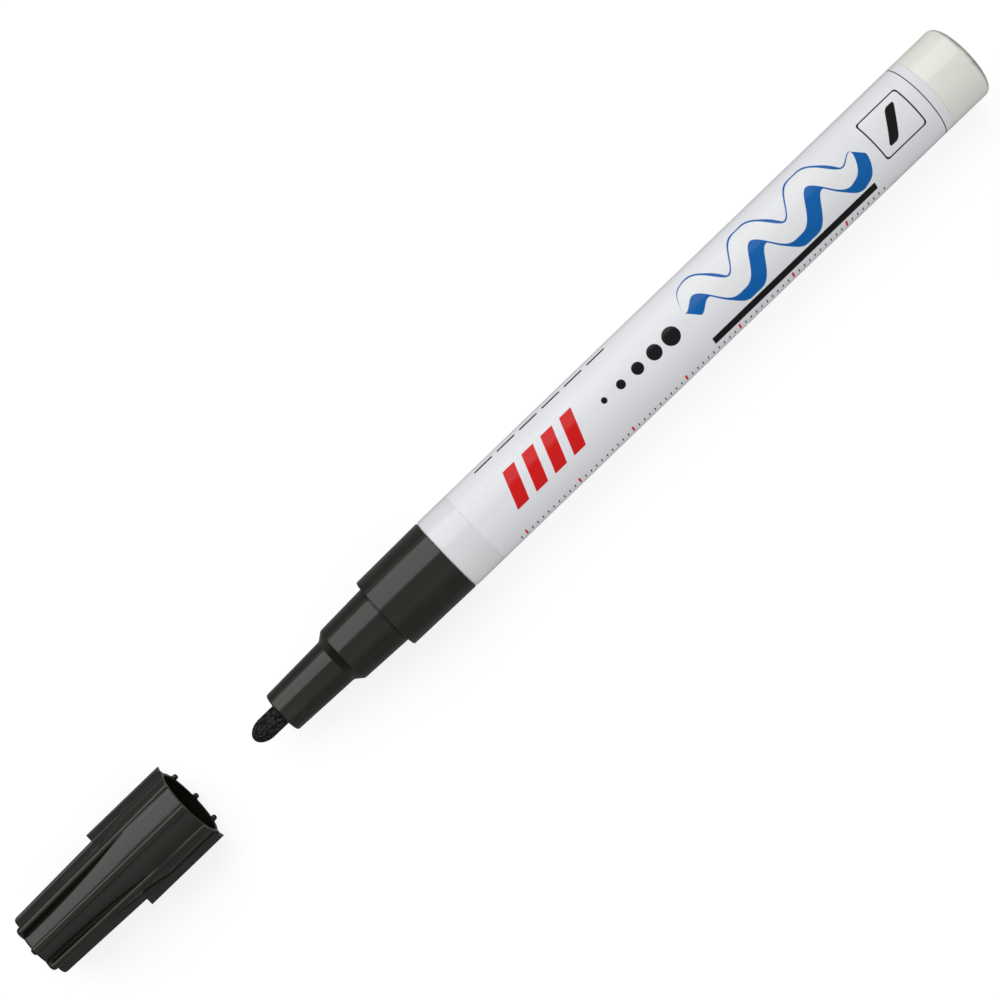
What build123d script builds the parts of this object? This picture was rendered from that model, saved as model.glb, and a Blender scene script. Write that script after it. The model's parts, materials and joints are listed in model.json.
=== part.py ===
from build123d import *
import math
import os

# A paint marker with its cap taken off, lying on a table along X.
# The nib points to -X and the cap lies in line with it, ready to be pushed on.
# Pressing the nib opens a sprung valve, which lets paint out of the barrel.
# All sizes are in millimetres. Stations along the axis count from the nib's tip towards the tail.

# Nib
nib_radius = 1.6
nib_point_length = 2.4
nib_exposed = 5.3
nib_length = 25.5
nib_press_travel = 2.0
nib_stop_room = 0.5

# Nose, outside
tip_front_radius = 3.2
tip_rear_radius = 3.52
tip_length = 10.3
tip_edge_round = 0.3
cone_length = 1.2
cone_root_round = 0.5
step_front_radius = 4.45
step_rear_radius = 4.72
step_length = 8.0
step_edge_round = 0.6
collar_front_radius = 5.75
collar_length = 11.5
collar_edge_round = 0.2
collar_relief_width = 0.2
collar_relief_depth = 0.15
spigot_length = 8.0

# Nose, inside
tip_wall = 0.72
nib_hole_length = 2.0
seat_bore_radius = 3.7
seat_bore_length = 7.0
spigot_wall = 0.8

# Barrel, label and tail
barrel_radius = 5.9
barrel_wall = 0.85
barrel_length = 90.1
barrel_edge_round = 0.42
bare_front_length = 5.4
label_thickness = 0.1
tail_length = 7.1
tail_edge_round = 0.9
tail_end_wall = 1.5
plug_length = 8.0
plug_wall = 1.0
plug_lead = 0.6
bead_height = 0.12
bead_width = 1.2
bead_spacing = 3.2

# Seal ring between nose and barrel
seal_width = 1.2
seal_depth = 0.55
seal_from_collar = 3.0
seal_bevel = 0.15

# Wick round the nib
wick_length = 14.0

# Valve
seat_thickness = 3.0
seat_hole_radius = 1.5
seat_cone_depth = 1.0
stem_pin_radius = 1.0
valve_head_radius = 2.3
valve_flange_thickness = 1.1
guide_rod_radius = 0.8
guide_rod_overhang = 0.4
cup_wall = 0.8
cup_end_wall = 1.2
cup_length = 10.7
cup_window_count = 4
cup_window_width = 2.2
cup_window_margin = 1.0
cup_port_radius = 0.4
spring_wire_radius = 0.2
spring_mean_radius = 1.45
spring_turns = 5

# Mixing ball
ball_radius = 3.5
ball_from_spigot = 24.0

# Cap, outside
cap_length = 28.5
cap_mouth_radius = 5.45
cap_skirt_length = 8.2
cap_end_radius = 3.79
cap_waist_sag = 0.4
cap_end_round = 0.35
rib_count = 8
rib_width = 1.15
rib_mouth_radius = 5.84
rib_end_radius = 5.05
rib_edge_round = 0.22
nub_radius = 0.4
nub_height = 0.55
nub_round = 0.3
fin_radius = 6.5
fin_length = 13.2
fin_thickness = 1.6
fin_root_spread = 0.25
fin_edge_round = 0.25
fin_overhang = 0.3

# Cap, inside
cap_mouth_wall = 0.5
cap_shoulder_room = 0.5
cap_end_wall = 1.1
cap_well_radius = 2.95
liner_wall = 0.3
liner_setback = 0.6
liner_lip_flare = 0.12
nib_pocket_radius = 2.1
nib_pocket_room = 1.3

# Clearances
nib_clearance = 0.06
press_gap = 0.02
label_gap = 0.01
valve_gap = 0.04
guide_clearance = 0.15
ball_clearance = 0.05
cap_clearance = 0.12
cap_stop_gap = 0.1
cap_gap = 12.15

# Stations along the axis, from the nib's tip
nose_front = nib_exposed
tip_rear = nose_front + tip_length
cone_rear = tip_rear + cone_length
collar_front = cone_rear + step_length
barrel_front = collar_front + collar_length
spigot_rear = barrel_front + spigot_length
label_front = barrel_front + bare_front_length
barrel_rear = barrel_front + barrel_length
tail_end = barrel_rear + tail_length
plug_front = barrel_rear - plug_length

wick_front = nose_front + nib_hole_length
seat_front = nib_length + nib_press_travel + nib_stop_room
seat_rear = seat_front + seat_thickness
seat_cone_front = seat_rear - seat_cone_depth
spigot_bore_front = seat_front + seat_bore_length
cup_rear = seat_rear + cup_length
cup_end_front = cup_rear - cup_end_wall

# The seat and the valve head share one 45 degree cone, apart by the valve gap.
valve_cone_shift = valve_gap * math.sqrt(2)
valve_cone_front = seat_cone_front - (seat_hole_radius - stem_pin_radius) + valve_cone_shift
valve_cone_rear = valve_cone_front + valve_head_radius - stem_pin_radius
valve_flange_rear = valve_cone_rear + valve_flange_thickness
guide_rod_rear = cup_rear + guide_rod_overhang

# Radii that follow from the fits
barrel_bore = barrel_radius - barrel_wall
spigot_radius = barrel_bore - press_gap
spigot_bore = spigot_radius - spigot_wall
wick_bore = tip_front_radius - tip_wall
nib_hole = nib_radius + nib_clearance
label_seat = barrel_radius - label_thickness
plug_bore = spigot_radius - plug_wall
insert_radius = seat_bore_radius - press_gap
cap_bore = cap_mouth_radius - cap_mouth_wall

# The cap stands off the marker by cap_gap and closes until its nubs meet the collar.
cap_mouth = -cap_gap
cap_end = cap_mouth - cap_length
cap_travel = collar_front - cap_mouth - nub_height - cap_stop_gap

# Depths inside the cap, from its mouth, taken from the nose as it stands in the closed cap
closed_mouth = cap_mouth + cap_travel
cap_bore_depth = closed_mouth - cone_rear + cap_shoulder_room
cap_neck_depth = closed_mouth - tip_rear + liner_setback
cap_neck_radius = step_front_radius + cap_clearance
liner_front = cap_neck_depth + press_gap
liner_shoulder = closed_mouth - nose_front + cap_clearance
pocket_floor = closed_mouth + nib_pocket_room
cap_floor = cap_length - cap_end_wall

# The frame's origin lies on the table, under the middle of the row.
row_middle = (tail_end + cap_end) / 2
axis_height = barrel_radius


def turned(points, rounds=()):
    """Revolve an outline of (station, radius) points; rounds are (corner, radius) pairs."""
    outline = make_face(Polyline(*points, close=True))
    for corner, round_radius in rounds:
        vertex = outline.vertices().sort_by_distance((corner[0], corner[1], 0))[0]
        outline = fillet(vertex, round_radius)
    return revolve(outline, Axis.X)


def tube(start, end, outer, inner):
    """A plain sleeve between two stations."""
    return turned([(start, inner), (start, outer), (end, outer), (end, inner)])


def around_axis(count, shape, first_angle=0.0):
    """Copies of a shape, evenly spaced round the marker's axis."""
    step = 360 / count
    return [Rot(X=first_angle + step * index) * shape for index in range(count)]


def placed(shape):
    """Move a piece from stations on the axis into the frame on the table."""
    return Pos(-row_middle, 0, axis_height) * shape


def nose_radius(station):
    """Outer radius of the nose's tip section, which the cap's liner follows."""
    share = (station - nose_front) / tip_length
    return tip_front_radius + share * (tip_rear_radius - tip_front_radius)


def make_nib():
    point = EllipticalCenterArc(
        (nib_point_length, 0), nib_point_length, nib_radius, start_angle=90, arc_size=90
    )
    body = Polyline((0, 0), (nib_length, 0), (nib_length, nib_radius), (nib_point_length, nib_radius))
    return revolve(make_face([point, body]), Axis.X)


def make_nose():
    groove_front = barrel_front + seal_from_collar
    groove_rear = groove_front + seal_width
    groove_radius = spigot_radius - seal_depth
    tip_corner = (nose_front, tip_front_radius)
    cone_root = (tip_rear, tip_rear_radius)
    cone_top = (cone_rear, step_front_radius)
    collar_corner = (collar_front, collar_front_radius)
    outside = [
        tip_corner,
        cone_root,
        cone_top,
        (collar_front - collar_relief_width, step_rear_radius),
        (collar_front - collar_relief_width, step_rear_radius - collar_relief_depth),
        (collar_front, step_rear_radius - collar_relief_depth),
        collar_corner,
        (barrel_front, barrel_radius),
        (barrel_front, spigot_radius),
        (groove_front, spigot_radius),
        (groove_front, groove_radius),
        (groove_rear, groove_radius),
        (groove_rear, spigot_radius),
        (spigot_rear, spigot_radius),
    ]
    inside = [
        (spigot_rear, spigot_bore),
        (spigot_bore_front, spigot_bore),
        (spigot_bore_front, seat_bore_radius),
        (seat_front, seat_bore_radius),
        (seat_front, wick_bore),
        (wick_front, wick_bore),
        (wick_front, nib_hole),
        (nose_front, nib_hole),
    ]
    rounds = [
        (tip_corner, tip_edge_round),
        (cone_root, cone_root_round),
        (cone_top, step_edge_round),
        (collar_corner, collar_edge_round),
    ]
    return turned(outside + inside, rounds)


def make_nose_seal():
    start = barrel_front + seal_from_collar + press_gap
    end = start + seal_width - 2 * press_gap
    inner = spigot_radius - seal_depth + press_gap
    outer = barrel_bore - press_gap
    outline = [
        (start, inner + seal_bevel),
        (start, outer - seal_bevel),
        (start + seal_bevel, outer),
        (end - seal_bevel, outer),
        (end, outer - seal_bevel),
        (end, inner + seal_bevel),
        (end - seal_bevel, inner),
        (start + seal_bevel, inner),
    ]
    return turned(outline)


def make_wick():
    return tube(wick_front, wick_front + wick_length, wick_bore - press_gap, nib_hole)


def make_barrel():
    front_corner = (barrel_front, barrel_radius)
    outline = [
        (barrel_front, barrel_bore),
        front_corner,
        (label_front, barrel_radius),
        (label_front, label_seat),
        (barrel_rear, label_seat),
        (barrel_rear, barrel_bore),
    ]
    return turned(outline, [(front_corner, barrel_edge_round)])


def make_label():
    return tube(label_front + label_gap, barrel_rear - label_gap, barrel_radius, label_seat + label_gap)


def make_tail_plug():
    tail_corner = (tail_end, barrel_radius)
    plug_floor = tail_end - tail_end_wall
    shank = spigot_radius - bead_height
    outline = [
        (plug_front, plug_bore),
        (plug_front, shank - plug_lead / 2),
        (plug_front + plug_lead, shank),
        (barrel_rear, shank),
        (barrel_rear, barrel_radius),
        tail_corner,
        (tail_end, 0),
        (plug_floor, 0),
        (plug_floor, plug_bore),
    ]
    plug = turned(outline, [(tail_corner, tail_edge_round)])
    first_bead = plug_front + plug_lead + bead_width / 2
    for index in range(2):
        start = first_bead + index * bead_spacing
        bead = [
            (start, plug_bore),
            (start, shank),
            (start + bead_width / 2, spigot_radius),
            (start + bead_width, shank),
            (start + bead_width, plug_bore),
        ]
        plug += turned(bead)
    return plug


def make_valve_seat():
    mouth_radius = seat_hole_radius + seat_cone_depth
    outline = [
        (seat_front, seat_hole_radius),
        (seat_front, insert_radius),
        (seat_rear, insert_radius),
        (seat_rear, mouth_radius),
        (seat_cone_front, seat_hole_radius),
    ]
    return turned(outline)


def make_valve_stem():
    outline = [
        (nib_length, 0),
        (nib_length, stem_pin_radius),
        (valve_cone_front, stem_pin_radius),
        (valve_cone_rear, valve_head_radius),
        (valve_flange_rear, valve_head_radius),
        (valve_flange_rear, guide_rod_radius),
        (guide_rod_rear, guide_rod_radius),
        (guide_rod_rear, 0),
    ]
    return turned(outline)


def make_spring_cup():
    cup_bore = insert_radius - cup_wall
    guide_hole = guide_rod_radius + guide_clearance
    outline = [
        (seat_rear, cup_bore),
        (seat_rear, insert_radius),
        (cup_rear, insert_radius),
        (cup_rear, guide_hole),
        (cup_end_front, guide_hole),
        (cup_end_front, cup_bore),
    ]
    cup = turned(outline)
    window_front = spigot_bore_front + cup_window_margin
    window_rear = cup_end_front - cup_window_margin
    window = Pos((window_front + window_rear) / 2, 0, insert_radius - cup_wall / 2) * Box(
        window_rear - window_front, cup_window_width, 2 * cup_wall
    )
    port_circle = (spring_mean_radius + spring_wire_radius + cup_bore) / 2
    port = Pos(cup_rear - cup_end_wall / 2, 0, port_circle) * Rot(Y=90) * Cylinder(
        cup_port_radius, 2 * cup_end_wall
    )
    cup -= around_axis(cup_window_count, window)
    cup -= around_axis(cup_window_count, port, 180 / cup_window_count)
    return cup


def make_valve_spring():
    start = valve_flange_rear + spring_wire_radius + press_gap
    end = cup_end_front - spring_wire_radius - press_gap
    pitch = (end - start) / spring_turns
    coil = Helix(pitch, end - start, spring_mean_radius, center=(start, 0, 0), direction=(1, 0, 0))
    wire = Plane(origin=coil @ 0, z_dir=coil % 0) * Circle(spring_wire_radius)
    return sweep(wire, path=coil, is_frenet=True)


def make_mixing_ball():
    drop = barrel_bore - ball_radius - ball_clearance
    return Pos(spigot_rear + ball_from_spigot, 0, -drop) * Sphere(ball_radius)


def cap_station(depth):
    """Station of a depth inside the cap, measured from its mouth."""
    return cap_mouth - depth


def cap_outline(points):
    """Turn (depth, radius) points in the cap into (station, radius) points."""
    return [(cap_station(depth), radius) for depth, radius in points]


def make_cap_core():
    """The cap's round body: a straight skirt that sweeps in to a slim waist."""
    skirt = (cap_skirt_length, cap_mouth_radius)
    finish = (cap_length, cap_end_radius)
    sweep_middle = (
        (skirt[0] + finish[0]) / 2,
        (skirt[1] + finish[1]) / 2 - cap_waist_sag,
    )
    skirt_point, middle_point, end_point = cap_outline([skirt, sweep_middle, finish])
    waist = ThreePointArc(skirt_point, middle_point, end_point)
    rest = Polyline(
        end_point, (cap_end, 0), (cap_mouth, 0), (cap_mouth, cap_mouth_radius), skirt_point
    )
    return revolve(make_face([waist, rest]), Axis.X)


def make_cap_rib():
    """One rib, standing on the core from the mouth to the closed end."""
    corners = [(0, 0), (0, rib_mouth_radius), (cap_length, rib_end_radius), (cap_length, 0)]
    side = make_face(Polyline(*[(x, 0, z) for x, z in cap_outline(corners)], close=True))
    rib = extrude(side, rib_width / 2, dir=(0, 1, 0), both=True)
    crest = rib.edges().filter_by(lambda edge: edge.length > cap_length - 1)
    return fillet(crest.sort_by(Axis.Z)[-2:], rib_edge_round)


def make_cap_nub():
    """The rounded stud at the mouth end of the three lower ribs, which meets the collar."""
    reach = 2 * nub_height
    centre_radius = (cap_bore + rib_mouth_radius) / 2
    nub = Pos(cap_mouth + nub_height - reach / 2, 0, centre_radius) * Rot(Y=90) * Cylinder(nub_radius, reach)
    return fillet(nub.edges().sort_by(Axis.X)[-1], nub_round)


def make_cap_fin():
    """One of the two side fins near the mouth, with hollow flanks and a slanted front."""
    half = fin_thickness / 2
    root_half = half + fin_root_spread
    root_radius = cap_mouth_radius - cap_mouth_wall / 2
    flank_top = root_radius + fin_root_spread
    base_radius = cap_end_radius
    depth_far = fin_length
    outline = [
        Line((-root_half, base_radius), (root_half, base_radius)),
        Line((root_half, base_radius), (root_half, root_radius)),
        RadiusArc((root_half, root_radius), (half, flank_top), fin_root_spread),
        Line((half, flank_top), (half, fin_radius)),
        Line((half, fin_radius), (-half, fin_radius)),
        Line((-half, fin_radius), (-half, flank_top)),
        RadiusArc((-half, flank_top), (-root_half, root_radius), fin_root_spread),
        Line((-root_half, root_radius), (-root_half, base_radius)),
    ]
    section = make_face(outline)
    crest = section.vertices().sort_by(Axis.Y)[-2:]
    section = fillet(crest, fin_edge_round)
    start = Plane(origin=(cap_station(depth_far), 0, 0), x_dir=(0, 1, 0), z_dir=(1, 0, 0))
    fin = extrude(start * section, depth_far + fin_overhang)
    slant_face = make_face(
        Polyline(
            (cap_mouth, 0, root_radius),
            (cap_mouth + fin_overhang, 0, fin_radius),
            (cap_mouth + fin_overhang + fin_radius, 0, fin_radius),
            (cap_mouth + fin_overhang + fin_radius, 0, root_radius),
            close=True,
        )
    )
    return fin - extrude(slant_face, fin_radius, dir=(0, 1, 0), both=True)


def liner_outer(depth):
    """Outer radius of the liner's sleeve at a depth inside the cap."""
    return nose_radius(closed_mouth - depth) + cap_clearance + liner_wall


def make_cap_shell():
    shell = make_cap_core()
    shell += around_axis(rib_count, make_cap_rib())
    shell += around_axis(2, make_cap_fin(), 90)
    end_round = [
        (0, 0),
        (-2 * nub_height, 0),
        (-2 * nub_height, 2 * fin_radius),
        (fin_length + cap_end_round, 2 * fin_radius),
        (fin_length + cap_end_round, rib_mouth_radius),
        (cap_length, rib_end_radius),
        (cap_length, 0),
    ]
    corner = (cap_end, rib_end_radius)
    shell &= turned(cap_outline(end_round), [(corner, cap_end_round)])
    nubs = around_axis(rib_count, make_cap_nub())
    lowest_rib = rib_count // 2
    shell += nubs[lowest_rib - 1 : lowest_rib + 2]
    front_radius = liner_outer(liner_front) + press_gap
    shoulder_radius = liner_outer(liner_shoulder) + press_gap
    well = [
        (-2 * nub_height, 0),
        (-2 * nub_height, cap_bore),
        (cap_bore_depth, cap_bore),
        (cap_neck_depth, cap_neck_radius),
        (cap_neck_depth, front_radius),
        (liner_shoulder + press_gap, shoulder_radius),
        (liner_shoulder + press_gap + shoulder_radius - cap_well_radius, cap_well_radius),
        (cap_floor, cap_well_radius),
        (cap_floor, 0),
    ]
    return shell - turned(cap_outline(well))


def make_cap_liner():
    front_outer = liner_outer(liner_front)
    shoulder_outer = liner_outer(liner_shoulder)
    pocket_outer = nib_pocket_radius + liner_wall
    outline = [
        (liner_front, front_outer),
        (liner_shoulder, shoulder_outer),
        (liner_shoulder + shoulder_outer - pocket_outer, pocket_outer),
        (pocket_floor + liner_wall, pocket_outer),
        (pocket_floor + liner_wall, 0),
        (pocket_floor, 0),
        (pocket_floor, nib_pocket_radius),
        (liner_shoulder + shoulder_outer - pocket_outer, nib_pocket_radius),
        (liner_shoulder, shoulder_outer - liner_wall),
        (liner_front + liner_wall, liner_outer(liner_front + liner_wall) - liner_wall),
        (liner_front, front_outer - liner_wall + liner_lip_flare),
    ]
    return turned(cap_outline(outline))


pieces = {
    "nib": make_nib(),
    "nose_section": make_nose(),
    "nose_seal": make_nose_seal(),
    "nib_wick": make_wick(),
    "barrel": make_barrel(),
    "label_sleeve": make_label(),
    "tail_plug": make_tail_plug(),
    "valve_seat": make_valve_seat(),
    "valve_stem": make_valve_stem(),
    "spring_cup": make_spring_cup(),
    "valve_spring": make_valve_spring(),
    "mixing_ball": make_mixing_ball(),
    "cap_shell": make_cap_shell(),
    "cap_liner": make_cap_liner(),
}

os.makedirs("parts", exist_ok=True)
for name, piece in pieces.items():
    export_step(placed(piece), f"parts/{name}.step")

print(f"row middle at station {row_middle:.3f}, cap travel {cap_travel:.3f}")
print(f"marker length {tail_end:.2f}, row length {tail_end - cap_end:.2f}")
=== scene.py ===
# %% [markdown]
# A paint marker with its cap taken off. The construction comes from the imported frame: every
# piece of it is already here, in metres, at its place. This lesson gives it its looks. The pieces
# that show are modelled anew, with care for their edges. The pieces inside, apart from the spring,
# keep their solids and get a finish. Nothing is moved: the marker lies along X, its nib to -X.

# %% Load the frame
import json
import math
import bmesh
import bpy
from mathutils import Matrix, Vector


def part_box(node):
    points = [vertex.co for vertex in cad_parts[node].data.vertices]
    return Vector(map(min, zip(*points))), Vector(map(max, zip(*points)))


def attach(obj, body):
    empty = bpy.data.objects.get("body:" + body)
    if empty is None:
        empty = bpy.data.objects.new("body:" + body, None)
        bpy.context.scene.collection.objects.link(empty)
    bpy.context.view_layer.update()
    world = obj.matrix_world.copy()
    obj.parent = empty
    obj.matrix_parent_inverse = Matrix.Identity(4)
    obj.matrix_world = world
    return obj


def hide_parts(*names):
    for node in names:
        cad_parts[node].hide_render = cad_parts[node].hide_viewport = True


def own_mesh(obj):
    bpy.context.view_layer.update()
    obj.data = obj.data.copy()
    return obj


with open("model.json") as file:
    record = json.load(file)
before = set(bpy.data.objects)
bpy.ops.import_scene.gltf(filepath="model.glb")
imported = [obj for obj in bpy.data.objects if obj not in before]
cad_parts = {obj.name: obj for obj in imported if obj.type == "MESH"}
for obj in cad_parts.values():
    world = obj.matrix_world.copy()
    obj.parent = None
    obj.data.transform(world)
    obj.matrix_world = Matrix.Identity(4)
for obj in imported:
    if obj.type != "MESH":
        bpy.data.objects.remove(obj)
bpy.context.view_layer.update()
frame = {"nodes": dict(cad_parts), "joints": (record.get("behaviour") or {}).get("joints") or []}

MM = 0.001
print("nodes in the frame:", sorted(frame["nodes"]))

# %% [markdown]
# All sizes that the frame can give are measured on it, so that a piece always fits its solid.
# A turned object needs only stations along its axis and radii around it, here in millimetres.

# %% Stations and radii from the frame
def box_mm(node):
    """Lowest and highest corner of a node, in millimetres."""
    low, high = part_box(node)
    return low / MM, high / MM


BARREL_LOW, BARREL_HIGH = box_mm("barrel")
NIB_LOW, NIB_HIGH = box_mm("nib")
NOSE_LOW, NOSE_HIGH = box_mm("nose_section")
LABEL_LOW, LABEL_HIGH = box_mm("label_sleeve")
TAIL_LOW, TAIL_HIGH = box_mm("tail_plug")
CAP_LOW = box_mm("cap_shell")[0]
SPRING_LOW, SPRING_HIGH = box_mm("valve_spring")

AXIS_Z = (NIB_LOW.z + NIB_HIGH.z) / 2
BARREL_R = (BARREL_HIGH.y - BARREL_LOW.y) / 2
NIB_R = (NIB_HIGH.y - NIB_LOW.y) / 2
print(f"axis {AXIS_Z:.2f} mm above the table, barrel {2 * BARREL_R:.2f} mm across")

# %% [markdown]
# The photograph looks straight down on the marker, which lies across the picture from the lower
# left to the upper right. A camera with no tilt looks down by itself, so one turn about Z is
# enough. How far the rims of the cap and the tail bow outwards tells how near the camera was.

# %% Camera
IMAGE_PIXELS = 1000
MM_PER_PIXEL = 0.13615
PICTURE_MIDDLE = (0.34, 0.29)
LAY_ANGLE = math.radians(43.94)
CAMERA_DISTANCE = 320.0

camera_data = bpy.data.cameras.new("camera")
camera_data.sensor_width = 36.0
camera_data.lens = camera_data.sensor_width * CAMERA_DISTANCE / (IMAGE_PIXELS * MM_PER_PIXEL)
camera = bpy.data.objects.new("camera", camera_data)
bpy.context.scene.collection.objects.link(camera)
camera.location = Vector((*PICTURE_MIDDLE, AXIS_Z + CAMERA_DISTANCE)) * MM
camera.rotation_euler = (0.0, 0.0, -LAY_ANGLE)
bpy.context.scene.camera = camera
bpy.context.scene.view_settings.view_transform = "Standard"
print(f"lens {camera_data.lens:.1f} mm, {CAMERA_DISTANCE:.0f} mm above the axis")

# %% [markdown]
# Nodes are wired by a few small helpers, so that a material reads like a recipe. One makes a node
# and one feeds it: values are linked to its sockets and constants are set on them. What comes out
# of a node is a value again, which can be added, multiplied, mapped or used as a mask.

# %% Node helpers
def add_node(tree, kind, **settings):
    """A new shader node of a kind, with its settings."""
    node = tree.nodes.new("ShaderNode" + kind)
    for name, setting in settings.items():
        setattr(node, name, setting)
    return node


def feed(node, *values, **named):
    """Feed a node's inputs, in their order or by name with _ for a space; gives the node."""
    targets = list(zip(node.inputs, values))
    targets += [(node.inputs[name.replace("_", " ")], value) for name, value in named.items()]
    for target, value in targets:
        if isinstance(value, Value):
            value.tree.links.new(value.socket, target)
        else:
            target.default_value = value
    return node


class Value:
    """What comes out of a node. Sums with it make Math nodes."""

    def __init__(self, socket):
        self.socket = socket
        self.tree = socket.id_data

    def math(self, operation, *others, clamp=False):
        """The result of a Math node on this value and others."""
        node = add_node(self.tree, "Math", operation=operation, use_clamp=clamp)
        return Value(feed(node, self, *others).outputs[0])

    def __add__(self, other):
        return self.math("ADD", other)

    def __sub__(self, other):
        return self.math("SUBTRACT", other)

    def __mul__(self, other):
        return self.math("MULTIPLY", other)

    def __truediv__(self, other):
        return self.math("DIVIDE", other)

    def __abs__(self):
        return self.math("ABSOLUTE")

    def at_least(self, other):
        """The larger of two values."""
        return self.math("MAXIMUM", other)

    def at_most(self, other):
        """The smaller of two values."""
        return self.math("MINIMUM", other)

    def spread(self, low, high, to_low=0.0, to_high=1.0):
        """This value, mapped from one range to another and held at the ends."""
        node = add_node(self.tree, "MapRange", clamp=True)
        return Value(feed(node, self, low, high, to_low, to_high).outputs[0])

    def between(self, first, second):
        """A value between two numbers, with this one as the mask."""
        return self.spread(0.0, 1.0, first, second)

    def blend(self, first, second):
        """A colour between two, with this value as the mask."""
        node = add_node(self.tree, "Mix", data_type="RGBA")
        return Value(feed(node, Factor=self, A=first, B=second).outputs["Result"])

    def parts(self):
        """The X, Y and Z of a vector."""
        node = add_node(self.tree, "SeparateXYZ")
        return [Value(part) for part in feed(node, self).outputs]


def rgb(red, green, blue):
    """A colour with full opacity."""
    return (red, green, blue, 1.0)


print("node helpers ready")

# %% [markdown]
# The light is one long softbox beside the marker and a dim, even room. The softbox runs along the
# marker, and its two long edges give the strip of light on the barrel its two hard edges. Under a
# camera overhead, a surface that leans by some angle shows what lies at twice that angle, so the
# strip on the barrel tells how far from the zenith the softbox starts and ends.

# %% Softbox
STRIP_INNER = math.radians(17.5)
STRIP_OUTER = math.radians(76.5)
CARD_DISTANCE = 600.0
SOFTBOX_LENGTH = 790.0
SOFTBOX_SHIFT = -65.0
SOFTBOX_RADIANCE = 1.6


def hang_card(name, radiance, length, width, shift, lean):
    """A rectangle of even light that faces the axis; it leans from the zenith to the far side."""
    data = bpy.data.lights.new(name, "AREA")
    data.shape = "RECTANGLE"
    data.size = length * MM
    data.size_y = width * MM
    data.energy = radiance * math.pi * data.size * data.size_y
    card = bpy.data.objects.new(name, data)
    bpy.context.scene.collection.objects.link(card)
    height = AXIS_Z + CARD_DISTANCE * math.cos(lean)
    card.location = Vector((shift, CARD_DISTANCE * math.sin(lean), height)) * MM
    card.rotation_euler = (-lean, 0.0, 0.0)
    print(f"{name}: {data.size:.2f} x {data.size_y:.2f} m, {data.energy:.2f} W")
    return card


softbox_lean = (STRIP_INNER + STRIP_OUTER) / 2
softbox_width = 2 * CARD_DISTANCE * math.tan((STRIP_OUTER - STRIP_INNER) / 2)
hang_card("softbox", SOFTBOX_RADIANCE, SOFTBOX_LENGTH, softbox_width, SOFTBOX_SHIFT, softbox_lean)

# %% [markdown]
# A small card, low on the other side, fills the shade on the white plastic. It is hidden from
# mirror reflections, because the black edges on that side are dark in the photograph.

# %% Fill card
FILL_RADIANCE = 2.45
FILL_LENGTH, FILL_WIDTH = 700.0, 250.0
FILL_LEAN = math.radians(-78)

fill = hang_card("fill_card", FILL_RADIANCE, FILL_LENGTH, FILL_WIDTH, 0.0, FILL_LEAN)
fill.visible_glossy = False

# %% [markdown]
# The room is a dome of even, slightly warm grey. It is a little darker straight overhead, where the
# camera and its stand would be, darker low down on the side away from the softbox, and dark beyond
# both ends of the marker: the tail's rim and the cone of the nose lean that way and show dark lines.

# %% Room
ROOM_LEVEL = 0.63
ROOM_TINT = rgb(1.0, 0.99, 0.965)
OVERHEAD, OVERHEAD_LOSS = (0.90, 0.97), 0.08
FAR_SIDE, FAR_SIDE_LOSS = (-0.55, -0.9), 0.3
BEYOND_ENDS, BEYOND_ENDS_LOSS = (0.5, 0.8), 0.5

world = bpy.data.worlds.new("room")
bpy.context.scene.world = world
world.use_nodes = True
tree = world.node_tree
looking = Value(add_node(tree, "TexCoord").outputs["Generated"])
along, side, up = looking.parts()
overhead = up.spread(*OVERHEAD, 0.0, OVERHEAD_LOSS)
far_side = side.spread(*FAR_SIDE, 0.0, FAR_SIDE_LOSS)
beyond = abs(along).spread(*BEYOND_ENDS, 0.0, BEYOND_ENDS_LOSS)
losses = (overhead + far_side).at_least(beyond)
feed(tree.nodes["Background"], Color=ROOM_TINT, Strength=losses * -1.0 + ROOM_LEVEL)
print("room set, level", ROOM_LEVEL)

# %% [markdown]
# The photograph's ground is plain white. A matt floor alone would come out grey at this level of
# light, so to what looks at it directly the floor also glows a little. The glow and the lit matt
# surface add up to white, and where the marker keeps the light off, its soft shadow stays.

# %% Floor
FLOOR_SIZE = 12.0
FLOOR_GREY = rgb(0.29, 0.29, 0.29)
FLOOR_GLOW = 0.79
MIRRORED_GLOW = 0.02

bpy.ops.object.select_all(action="DESELECT")
bpy.ops.mesh.primitive_plane_add(size=FLOOR_SIZE)
floor = bpy.context.object
floor.name = "floor"

paper = bpy.data.materials.new("floor_paper")
paper.use_nodes = True
tree = paper.node_tree
tree.nodes.clear()
ray = add_node(tree, "LightPath").outputs
direct = Value(ray["Is Camera Ray"]) * FLOOR_GLOW
mirrored = Value(ray["Is Glossy Ray"]).at_least(Value(ray["Is Transmission Ray"])) * MIRRORED_GLOW
matt = feed(add_node(tree, "BsdfDiffuse"), Color=FLOOR_GREY)
glow = feed(add_node(tree, "Emission"), Strength=direct.at_least(mirrored))
both = feed(add_node(tree, "AddShader"), Value(matt.outputs[0]), Value(glow.outputs[0]))
feed(add_node(tree, "OutputMaterial"), Surface=Value(both.outputs[0]))
floor.data.materials.append(paper)
print("floor laid")

# %% [markdown]
# Effects that several finishes share are node groups with named inputs. A group gives only masks
# and heights; each material decides what to do with them.

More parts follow.
